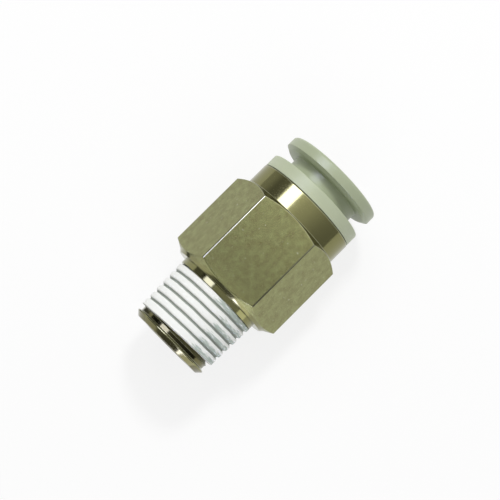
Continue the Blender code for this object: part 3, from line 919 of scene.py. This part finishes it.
class FITTING_OT_hex_body(bpy.types.Operator):
    """Model the brass body: hexagon, collar, neck, nose and stepped bore"""

    bl_idname = "fitting.hex_body"
    bl_label = "Hexagon body"

    def execute(self, context):
        settings = context.scene.fitting
        sizes = settings.body
        bm = bmesh.new()
        loop = hexagon_loop(bm, sizes)
        extrude_rows(bm, loop, body_rows(sizes))
        break_edges(bm, sizes.edge_round, segments=3)
        sort_body_faces(bm, sizes)
        finish = settings.finish
        polished = nickel_turned("nickel_turned", finish.nickel_polished, finish, finish.polished_rough)
        materials = [nickel_satin(finish), polished, bare_nickel(finish)]
        finish_piece(bm, "body_hexagon", "fitting_body", materials, "hex_body")
        return {"FINISHED"}


def spin_thread(bm, tooth, sizes):
    """Repeats a tooth along the axis, spins it one pitch a turn and tapers it."""
    nose = BODY_LOW.x
    low = nose + sizes.groove_station - 2 * sizes.pitch
    turns = math.ceil((COAT_HIGH.x - low) / sizes.pitch) + 2
    crest = sizes.gauge_diameter / 2
    corners = []
    for step in range(turns):
        for reach, height in tooth:
            station = low + (step + reach) * sizes.pitch
            corners.append(bm.verts.new(on_axis(station, crest + height, 0)))
    edges = [bm.edges.new(pair) for pair in zip(corners, corners[1:])]
    advance = Vector((sizes.pitch / THREAD_STEPS, 0, 0))
    bmesh.ops.spin(
        bm, geom=corners + edges, cent=AXIS_POINT, axis=FLOW, dvec=advance, angle=FULL_TURN,
        steps=THREAD_STEPS, use_merge=False,
    )
    bmesh.ops.remove_doubles(bm, verts=bm.verts, dist=WELD)
    gauge = nose + sizes.gauge_length
    for vert in bm.verts:
        radius, angle = polar(vert.co)
        grown = radius + (vert.co.x - gauge) * sizes.taper / 2
        vert.co = on_axis(vert.co.x, grown, angle)


def close_thread(bm, low, high, inner):
    """Cuts the skin square at both ends and joins the ends through a plain inner wall."""
    for station, side in ((low, -1), (high, 1)):
        bmesh.ops.bisect_plane(
            bm, geom=[*bm.verts, *bm.edges, *bm.faces], dist=WELD / 10,
            plane_co=(station, 0, 0), plane_no=(side, 0, 0), clear_outer=True,
        )
    rims = [edge for edge in bm.edges if edge.is_boundary]
    made = bmesh.ops.extrude_edge_only(bm, edges=rims)["geom"]
    verts = {item for item in made if isinstance(item, bmesh.types.BMVert)}
    for vert in verts:
        vert.co = on_axis(vert.co.x, inner, polar(vert.co)[1])
    walls = [item for item in made if isinstance(item, bmesh.types.BMEdge)]
    bmesh.ops.bridge_loops(bm, edges=[edge for edge in walls if verts.issuperset(edge.verts)])


def thread_turn(point, sizes):
    """How many turns along the thread a point lies; the root is at the whole turns."""
    root = BODY_LOW.x + sizes.groove_station
    return (point.x - root) / sizes.pitch + polar(point)[1] / FULL_TURN


def smooth_step(value, low, high):
    """A smooth ramp from 0 at low to 1 at high."""
    share = min(1.0, max(0.0, (value - low) / (high - low)))
    return share * share * (3 - 2 * share)


class FITTING_OT_taper_thread(bpy.types.Operator):
    """Cut the bare taper thread, which shows before the sealant starts"""

    bl_idname = "fitting.taper_thread"
    bl_label = "Taper thread"

    def execute(self, context):
        settings = context.scene.fitting
        sizes = settings.thread
        relief = settings.body.relief_diameter / 2
        lead = BODY_LOW.x + settings.body.relief_end
        bm = bmesh.new()
        spin_thread(bm, [(reach, -share * sizes.depth) for reach, share in BARE_TOOTH], sizes)
        for vert in bm.verts:
            radius, angle = polar(vert.co)
            limit = relief + max(0.0, vert.co.x - lead) * sizes.lead_slope
            vert.co = on_axis(vert.co.x, min(radius, limit), angle)
        close_thread(bm, lead - TUCK, COAT_HIGH.x, relief - sizes.wall)
        materials = [bare_nickel(settings.finish)]
        finish_piece(bm, "taper_thread", "fitting_body", materials)
        return {"FINISHED"}


def painted_shade_share(along, angle, sizes):
    """How much painted shade, with streaks of thin sealant, the sealant gets at a turn along the thread
    and an angle about it.
    """
    last = smooth_step(along, sizes.coat_turns, sizes.coat_turns + LAST_FADE)
    crest = SHADED_CREST + LAST_CREST * last
    past_root = smooth_step(along % 1, *SHADED_ROOT)
    past_crest = smooth_step(along % 1, crest, crest + CREST_FADE)
    begun = sizes.shade_angle * (1 - last)
    started = smooth_step(-angle - begun, *SHADE_START)
    ended = smooth_step(-angle, *SHADE_END)
    return past_root * (1 - past_crest) * started * (1 - ended)


class FITTING_OT_thread_coat(bpy.types.Operator):
    """Coat the thread with dried sealant, which leaves a narrow groove along the root"""

    bl_idname = "fitting.thread_coat"
    bl_label = "Thread sealant"

    def execute(self, context):
        settings = context.scene.fitting
        sizes = settings.thread
        depth = sizes.coat_groove
        coat_fall = [(1 - reach, share) for reach, share in COAT_RISE[-2:0:-1]]
        profile = [*COAT_RISE, *coat_fall]
        bm = bmesh.new()
        spin_thread(bm, [(reach, sizes.coat_proud - share * depth) for reach, share in profile], sizes)
        groove = bm.verts.layers.float.new("groove")
        painted_shade = bm.verts.layers.float.new("painted_shade")
        gauge = BODY_LOW.x + sizes.gauge_length
        crest = sizes.gauge_diameter / 2
        core = crest - CORE_DEPTHS * sizes.depth
        for vert in bm.verts:
            radius, angle = polar(vert.co)
            along = thread_turn(vert.co, sizes)
            top = crest + (vert.co.x - gauge) * sizes.taper / 2 + sizes.coat_proud
            opened = max(smooth_step(along, *GROOVE_OPENS), smooth_step(-angle, *GROOVE_BEHIND))
            sunk = (top - radius) * opened
            # How deep the point lies in the groove: the mask for the painted shade there
            vert[groove] = smooth_step(sunk / depth, *GROOVE_SHADE)
            # The mask for painted shade on the flanks that face the nose and on the last ridge
            vert[painted_shade] = painted_shade_share(along, angle, sizes)
            ripple = sizes.coat_ripple * noise.noise(vert.co * RIPPLE_SCALE)
            vert.co.x += 2 * sizes.coat_ripple * noise.noise(vert.co * WANDER_SCALE)
            front = BODY_LOW.x + sizes.coat_front - sizes.coat_sway * math.sin(angle)
            front += 2 * sizes.coat_ripple * noise.noise(vert.co * FRONT_SCALE)
            started = smooth_step(vert.co.x - front, *FRONT_SLOPE)
            height = core + (top - sunk + ripple - core) * started
            vert.co = on_axis(vert.co.x, height, angle)
        low = BODY_LOW.x + sizes.coat_front - 2 * sizes.coat_sway
        close_thread(bm, low, COAT_HIGH.x, core - TUCK)
        materials = [dried_sealant(settings.finish)]
        finish_piece(bm, "thread_coat", "fitting_body", materials, "thread_sealant")
        return {"FINISHED"}


class FITTING_OT_collar_ring(bpy.types.Operator):
    """Mould the flanged ring that is snapped into the body's mouth"""

    bl_idname = "fitting.collar_ring"
    bl_label = "Collar ring"

    def execute(self, context):
        settings = context.scene.fitting
        sizes = settings.plastic
        top = RING_HIGH.x
        seat = top - sizes.ring_flange
        outer = (RING_HIGH.z - RING_LOW.z) / 2
        barrel = sizes.ring_barrel / 2
        bore = sizes.ring_bore / 2
        pocket = sizes.ring_pocket / 2
        shoulder = top - sizes.ring_shoulder
        size = sizes.ring_round
        snap = barrel + sizes.snap_height
        snap_top = BODY_HIGH.x - sizes.snap_depth
        snap_low = snap_top - sizes.snap_length
        lead = sizes.snap_height
        outline = [
            (RING_LOW.x, pocket),
            (RING_LOW.x, barrel - lead),
            (RING_LOW.x + lead, barrel),
            (snap_low, barrel),
            (snap_low + lead, snap),
            (snap_top, snap),
            (snap_top, barrel),
            (seat, barrel),
            *arc(seat + size / 2, outer - size / 2, size / 2, -90, 0),
            *arc(top - size, outer - size, size, 0, 90),
            *arc(top - size, bore + size, size, 90, 180),
            (shoulder, bore),
            (shoulder, pocket),
        ]
        bm = turned_ring(outline, sizes.ring_edge)
        materials = [moulded_resin("ring_resin", settings.finish.ring, settings.finish.ring_rough)]
        finish_piece(bm, "collar_bush", "fitting_body", materials, "collar_ring")
        return {"FINISHED"}


class FITTING_OT_release_button(bpy.types.Operator):
    """Mould the release button: flange, neck, and the slit end that pushes on the chuck"""

    bl_idname = "fitting.release_button"
    bl_label = "Release button"

    def execute(self, context):
        settings = context.scene.fitting
        sizes = settings.plastic
        top = BUTTON_HIGH.x
        under = top - sizes.button_flange
        outer = (BUTTON_HIGH.z - BUTTON_LOW.z) / 2
        neck = sizes.button_neck / 2
        bore = sizes.button_bore / 2
        lip = sizes.button_lip / 2
        end = BUTTON_LOW.x
        slit_top = end + sizes.slit_length
        lip_low = end + sizes.lip_foot
        lip_start = lip_low + sizes.lip_rise
        lip_top = lip_start + sizes.lip_land
        foot = neck - sizes.lip_step
        size = sizes.button_round
        fillet = sizes.button_fillet
        lead = sizes.button_lead
        sleeve = [
            (slit_top, bore),
            (slit_top, neck),
            *arc(under - fillet, neck + fillet, fillet, 180, 90),
            (under, outer - sizes.button_splay),
            (under + sizes.button_bevel, outer),
            *arc(top - size, outer - size, size, 0, 90),
            *arc(top - lead, bore + lead, lead, 90, 180),
        ]
        prong = [
            (end, bore),
            (end, foot),
            (lip_low, foot),
            (lip_start, lip),
            (lip_top, lip),
            (lip_top, neck),
            (slit_top, neck),
            (slit_top, bore),
        ]
        bm = bmesh.new()
        spin_ring(bm, sleeve)
        spin_blocks(bm, prong, sizes.slit_count, sizes.slit_width / neck)
        break_edges(bm, sizes.button_edge)
        materials = [moulded_resin("button_resin", settings.finish.button, settings.finish.button_rough)]
        finish_piece(bm, "button_sleeve", "button", materials, "release_button")
        return {"FINISHED"}


class FITTING_OT_chuck(bpy.types.Operator):
    """Form the steel chuck: a hoop, wedge-backed fingers and their biting edges"""

    bl_idname = "fitting.chuck"
    bl_label = "Tube chuck"

    def execute(self, context):
        settings = context.scene.fitting
        sizes = settings.chuck
        bore = settings.plastic.button_bore / 2
        tip = CHUCK_LOW.x
        top = CHUCK_HIGH.x
        wedge = (CHUCK_HIGH.z - CHUCK_LOW.z) / 2
        wall = sizes.wall_radius
        slope_start = tip + sizes.tip_length
        slope_end = slope_start + sizes.wedge_length
        hoop_start = top - sizes.hoop_length
        bite = bore - sizes.tooth_bite
        chamfer = sizes.tip_length / 2
        hoop = [(hoop_start, bore), (hoop_start, wall), (top, wall), (top, bore)]
        finger = [
            (tip, bore),
            (tip, wedge - chamfer),
            (tip + chamfer, wedge),
            (slope_start, wedge),
            (slope_end, wall),
            (hoop_start, wall),
            (hoop_start, bore),
            *[(tip + reach * sizes.tooth_pitch, bite if sharp else bore) for reach, sharp in BITING_EDGES],
        ]
        bm = bmesh.new()
        spin_ring(bm, hoop)
        spin_blocks(bm, finger, sizes.finger_count, sizes.finger_gap / wall)
        break_edges(bm, sizes.finger_edge)
        materials = [spring_steel(settings.finish)]
        finish_piece(bm, "chuck_collet", "tube_chuck", materials, "chuck")
        return {"FINISHED"}


class FITTING_OT_inner_rings(bpy.types.Operator):
    """Turn the rings inside the body: the cone guide, the seal's retainer and the lip seal"""

    bl_idname = "fitting.inner_rings"
    bl_label = "Guide, retainer and seal"

    def execute(self, context):
        settings = context.scene.fitting
        chuck = settings.chuck
        sizes = settings.inner
        finish = settings.finish
        bore = settings.plastic.button_bore / 2
        outer = (GUIDE_HIGH.z - GUIDE_LOW.z) / 2
        wedge = (CHUCK_HIGH.z - CHUCK_LOW.z) / 2 + sizes.cone_room
        wall = chuck.wall_radius + sizes.cone_room
        slope_start = CHUCK_LOW.x + chuck.tip_length
        guide = [
            (GUIDE_LOW.x, wedge),
            (GUIDE_LOW.x, outer),
            (GUIDE_HIGH.x, outer),
            (GUIDE_HIGH.x, wall),
            (slope_start + chuck.wedge_length, wall),
            (slope_start, wedge),
        ]
        bm = turned_ring(guide, sizes.ring_edge)
        materials = [spring_steel(finish)]
        finish_piece(bm, "cone_guide", "fitting_body", materials, "guide")

        retainer = [
            (RETAINER_LOW.x, bore),
            (RETAINER_LOW.x, outer),
            (RETAINER_HIGH.x, outer),
            (RETAINER_HIGH.x, bore + sizes.lead_in),
            (RETAINER_HIGH.x - sizes.lead_in, bore),
        ]
        bm = turned_ring(retainer, sizes.ring_edge)
        materials = [moulded_resin("retainer_resin_finish", finish.retainer, finish.retainer_rough)]
        finish_piece(bm, "retainer_ring", "fitting_body", materials, "seal_retainer")

        low = SEAL_LOW.x
        seal_outer = (SEAL_HIGH.z - SEAL_LOW.z) / 2
        lip = bore - sizes.lip_reach
        notch = (lip + seal_outer) / 2
        seal = [
            (low + sizes.seal_slope, seal_outer),
            (SEAL_HIGH.x, seal_outer),
            (SEAL_HIGH.x, bore),
            (low + sizes.lip_length, bore),
            (low + sizes.lip_land, lip),
            (low, lip + sizes.seal_slope),
            (low, notch - sizes.notch_width / 2),
            (low + sizes.notch_depth, notch),
            (low, notch + sizes.notch_width / 2),
            (low, seal_outer - sizes.seal_slope),
        ]
        bm = turned_ring(seal, sizes.seal_edge, segments=3)
        materials = [seal_rubber(finish)]
        finish_piece(bm, "lip_seal", "fitting_body", materials, "tube_seal")
        return {"FINISHED"}


def ray_kinds(tree):
    """The light path, and a mask of the rays that come off gloss or through glass."""
    rays = add_node(tree, "ShaderNodeLightPath")
    onward = add_node(tree, "ShaderNodeMath", operation="MAXIMUM")
    wire(tree, (rays, "Is Glossy Ray", onward, 0), (rays, "Is Transmission Ray", onward, 1))
    return rays, onward


def light_room(stage):
    """A white room that lights the object softly."""
    world = bpy.data.worlds.new("white_room")
    world.use_nodes = True
    world.cycles.sampling_method = "NONE"
    tree = world.node_tree
    tree.nodes.clear()
    rays, onward = ray_kinds(tree)
    shown = add_node(tree, "ShaderNodeMath", operation="MAXIMUM")
    seen = add_node(tree, "ShaderNodeBackground", {"Color": WHITE, "Strength": 1.0})
    fill = add_node(tree, "ShaderNodeBackground", {"Color": WHITE, "Strength": stage.fill_glow})
    choose = add_node(tree, "ShaderNodeMixShader")
    wire(
        tree,
        (rays, "Is Camera Ray", shown, 0),
        (onward, 0, shown, 1),
        (shown, 0, choose, 0),
        (fill, 0, choose, 1),
        (seen, 0, choose, 2),
        (choose, 0, add_node(tree, "ShaderNodeOutputWorld"), "Surface"),
    )
    bpy.context.scene.world = world


def lay_floor():
    """A white floor that keeps a soft shadow, and meets the white room without an edge."""
    material, tree, shader = new_material("white_floor", roughness=0.9)
    material.cycles.emission_sampling = "NONE"
    shader.inputs["Base Color"].default_value = FLOOR_WHITE
    shader.inputs["Specular IOR Level"].default_value = 0.0
    rays, onward = ray_kinds(tree)
    glow = add_node(tree, "ShaderNodeEmission", {"Color": WHITE, "Strength": 1.0})
    mirrored = add_node(tree, "ShaderNodeMath", {1: FLOOR_MIRRORED}, operation="MULTIPLY")
    share = add_node(tree, "ShaderNodeMath", operation="MULTIPLY_ADD")
    place = add_node(tree, "ShaderNodeTexCoord")
    spread = add_node(tree, "ShaderNodeVectorMath", operation="LENGTH")
    outward = add_node(tree, "ShaderNodeMapRange", FLOOR_PALES)
    choose = add_node(tree, "ShaderNodeMixShader")
    wire(
        tree,
        (place, "Object", spread, 0),
        (spread, "Value", outward, "Value"),
        (onward, 0, mirrored, 0),
        (rays, "Is Camera Ray", share, 0),
        (outward, "Result", share, 1),
        (mirrored, 0, share, 2),
        (share, 0, choose, 0),
        (shader, 0, choose, 1),
        (glow, 0, choose, 2),
        (choose, 0, tree.nodes["Material Output"], "Surface"),
    )
    bm = bmesh.new()
    bmesh.ops.create_grid(bm, x_segments=1, y_segments=1, size=FLOOR_SIZE)
    add_stage_mesh(bm, "floor", material)


def add_stage_mesh(bm, name, material):
    """Makes a stage object, which isn't part of the fitting."""
    mesh = bpy.data.meshes.new(name)
    bm.to_mesh(mesh)
    bm.free()
    mesh.materials.append(material)
    piece = bpy.data.objects.new(name, mesh)
    bpy.context.scene.collection.objects.link(piece)
    return piece


def add_ramp(tree, stops):
    """A colour ramp with its stops: position and grey."""
    node = add_node(tree, "ShaderNodeValToRGB")
    elements = node.color_ramp.elements
    elements[0].position = 0.0
    elements[1].position = 1.0
    for position, grey in stops:
        elements.new(position).color = (grey, grey, grey, 1)
    elements.remove(elements[len(elements) - 1])
    elements.remove(elements[0])
    return node


def hide_card(card):
    """Leaves a card to the metal's reflections alone."""
    card.visible_camera = False
    card.visible_diffuse = False
    card.visible_shadow = False


def glowing_cloth(name, tint=WHITE, strength=1.0):
    """A material that only glows and isn't sampled as a lamp, and the tree and glow to build on."""
    material, tree, shader = new_material(name)
    material.cycles.emission_sampling = "NONE"
    tree.nodes.remove(shader)
    glow = add_node(tree, "ShaderNodeEmission", {"Color": tint, "Strength": strength})
    wire(tree, (glow, 0, tree.nodes["Material Output"], "Surface"))
    return material, tree, glow


def stretch_tent():
    """A half-round tent over the fitting, with the bands of light and dark that its metal reflects."""
    material, tree, glow = glowing_cloth("tent_cloth")
    place = add_node(tree, "ShaderNodeTexCoord")
    parts = add_node(tree, "ShaderNodeSeparateXYZ")
    rise = add_node(tree, "ShaderNodeMath", {1: AXIS_Z}, operation="SUBTRACT")
    angle = add_node(tree, "ShaderNodeMath", operation="ARCTAN2")
    half_turn = {"From Min": -math.pi / 2, "From Max": math.pi / 2}
    around = add_node(tree, "ShaderNodeMapRange", half_turn)
    whole_span = {"From Min": -TENT_SPAN / 2, "From Max": TENT_SPAN / 2}
    along = add_node(tree, "ShaderNodeMapRange", whole_span)
    bands = add_ramp(tree, [(degrees / 180 + 0.5, grey) for degrees, grey in TENT_BANDS])
    fade = add_ramp(tree, [(x / TENT_SPAN + 0.5, factor) for x, factor in TENT_FADE])
    tip = add_ramp(tree, [(x / TENT_SPAN + 0.5, grey) for x, grey in TENT_TIP])
    banded = add_node(tree, "ShaderNodeMath", operation="MULTIPLY")
    total = add_node(tree, "ShaderNodeMath", operation="ADD")
    wire(
        tree,
        (place, "Object", parts, 0),
        (parts, "Y", angle, 0),
        (parts, "Z", rise, 0),
        (rise, 0, angle, 1),
        (angle, 0, around, "Value"),
        (around, "Result", bands, "Fac"),
        (parts, "X", along, "Value"),
        (along, "Result", fade, "Fac"),
        (along, "Result", tip, "Fac"),
        (bands, "Color", banded, 0),
        (fade, "Color", banded, 1),
        (banded, 0, total, 0),
        (tip, "Color", total, 1),
        (total, 0, glow, "Strength"),
    )
    bm = bmesh.new()
    corners = [on_axis(x, TENT_REACH, -math.pi / 2) for x in (-TENT_SPAN / 2, TENT_SPAN / 2)]
    ends = [bm.verts.new(corner) for corner in corners]
    hem = bm.edges.new(ends)
    bmesh.ops.spin(
        bm, geom=[*ends, hem], cent=AXIS_POINT, axis=FLOW, angle=-math.pi, steps=TENT_STEPS,
        use_merge=False,
    )
    nose_end = [edge for edge in bm.edges if max(vert.co.x for vert in edge.verts) < 0]
    bmesh.ops.contextual_create(bm, geom=nose_end)
    hide_card(add_stage_mesh(bm, "tent", material))


def hang_card(name, glow, tint, corners):
    """An even card with four corners, which only gloss reflects."""
    material = glowing_cloth(name, tint, glow)[0]
    bm = bmesh.new()
    bm.faces.new([bm.verts.new(corner) for corner in corners])
    hide_card(add_stage_mesh(bm, name, material))


def hang_lamp(name, glow, extent, swing, lean):
    """A soft lamp that faces the fitting, swung from overhead towards +Y and leant to the tube end."""
    light = bpy.data.lights.new(name, "AREA")
    light.shape = "RECTANGLE"
    light.size, light.size_y = extent
    light.energy = glow * math.pi * math.prod(extent)
    lamp = bpy.data.objects.new(name, light)
    turned = Matrix.Rotation(-swing, 4, "X") @ Matrix.Rotation(lean, 4, "Y")
    lamp.matrix_world = Matrix.Translation(AXIS_POINT) @ turned @ Matrix.Translation((0, 0, LAMP_REACH))
    lamp.visible_camera = False
    bpy.context.scene.collection.objects.link(lamp)
    return lamp


def band_corners(stations, reach, angles):
    """The corners of a card along the axis, between two stations and two angles in degrees."""
    low, high = stations
    start, end = (math.radians(angle) for angle in angles)
    places = ((low, start), (high, start), (high, end), (low, end))
    return [on_axis(station, reach, angle) for station, angle in places]


def flat_corners(low, high):
    """The corners of an upright or level card, between two of them that share one coordinate."""
    spans = [sorted({start, end}) for start, end in zip(low, high)]
    first, fourth, second, third = product(*spans)
    return first, second, third, fourth


def stand_camera(stage):
    """Places the camera over the fitting, with the flow axis running up across the picture."""
    along = Vector((math.cos(stage.tilt), 0, math.sin(stage.tilt)))
    across = Vector((0, -1, 0))
    back = Vector((-math.sin(stage.tilt), 0, math.cos(stage.tilt)))
    right = math.cos(stage.roll) * along + math.sin(stage.roll) * across
    up = math.sin(stage.roll) * along - math.cos(stage.roll) * across
    lean = Matrix.Rotation(stage.lean, 3, "X")
    axes = lean @ Matrix((right, up, back)).transposed()
    target = AXIS_POINT + Vector((stage.focus_station, 0, 0))
    eye = target + lean @ (stage.distance * back + Vector((0, stage.side_step, 0)))
    camera_data = bpy.data.cameras.new("photo_camera")
    camera_data.lens = stage.lens
    camera_data.sensor_width = 36
    camera_data.clip_start = 0.01
    camera_data.clip_end = 10
    camera = bpy.data.objects.new("photo_camera", camera_data)
    camera.matrix_world = Matrix.Translation(eye) @ axes.to_4x4()
    bpy.context.scene.collection.objects.link(camera)
    bpy.context.scene.camera = camera


class FITTING_OT_stage(bpy.types.Operator):
    """Light the room, lay the floor, hang the lamps, the cards and the tent, and stand the camera"""

    bl_idname = "fitting.stage"
    bl_label = "Stage"

    def execute(self, context):
        stage = context.scene.fitting.stage
        light_room(stage)
        lay_floor()
        hang_lamp("strip_lamp", stage.strip_glow, STRIP_EXTENT, stage.lamp_angle, stage.lamp_lean)
        key = hang_lamp("key_lamp", stage.key_glow, KEY_EXTENT, stage.key_angle, stage.key_lean)
        side = hang_lamp("side_lamp", stage.side_glow, SIDE_EXTENT, stage.side_angle, stage.side_lean)
        key.visible_glossy = False
        side.visible_glossy = False
        strip = band_corners(STRIP_STATIONS, LAMP_REACH, STRIP_ANGLES)
        hang_card("strip_card", stage.card_glow, COOL, strip)
        tail = band_corners(TAIL_STATIONS, LAMP_REACH, STRIP_ANGLES)
        hang_card("strip_tail", stage.tail_glow, COLD, tail)
        for name, glow, tint, low, high in FLAT_CARDS:
            hang_card(name, glow, tint, flat_corners(low, high))
        for name, glow, stations, angles in NECK_CARDS:
            hang_card(name, glow, WHITE, band_corners(stations, NECK_CARD_REACH, angles))
        stretch_tent()
        stand_camera(stage)
        context.scene.view_settings.view_transform = "Standard"
        return {"FINISHED"}


class FITTING_PT_sidebar(bpy.types.Panel):
    """The fitting's pieces and settings"""

    bl_label = "Push-to-connect fitting"
    bl_idname = "FITTING_PT_sidebar"
    bl_space_type = "VIEW_3D"
    bl_region_type = "UI"
    bl_category = "Fitting"

    def draw(self, context):
        for operator in OPERATORS:
            self.layout.operator(operator.bl_idname)
        settings = context.scene.fitting
        for name in settings.__annotations__:
            box = self.layout.box()
            group = getattr(settings, name)
            for field in group.__annotations__:
                box.prop(group, field)


OPERATORS = (
    FITTING_OT_hex_body,
    FITTING_OT_taper_thread,
    FITTING_OT_thread_coat,
    FITTING_OT_collar_ring,
    FITTING_OT_release_button,
    FITTING_OT_chuck,
    FITTING_OT_inner_rings,
    FITTING_OT_stage,
)
GROUPS = (
    BodySizes,
    ThreadSizes,
    PlasticSizes,
    ChuckSizes,
    InnerSizes,
    FinishColours,
    StageSettings,
    FittingSettings,
)
CLASSES = (*GROUPS, *OPERATORS, FITTING_PT_sidebar)


def register():
    for item in CLASSES:
        bpy.utils.register_class(item)
    bpy.types.Scene.fitting = PointerProperty(type=FittingSettings)


def unregister():
    del bpy.types.Scene.fitting
    for item in reversed(CLASSES):
        bpy.utils.unregister_class(item)


def main():
    register()
    bpy.ops.fitting.hex_body()
    bpy.ops.fitting.taper_thread()
    bpy.ops.fitting.thread_coat()
    bpy.ops.fitting.collar_ring()
    bpy.ops.fitting.release_button()
    bpy.ops.fitting.chuck()
    bpy.ops.fitting.inner_rings()
    bpy.ops.fitting.stage()


if __name__ == "__main__":
    main()
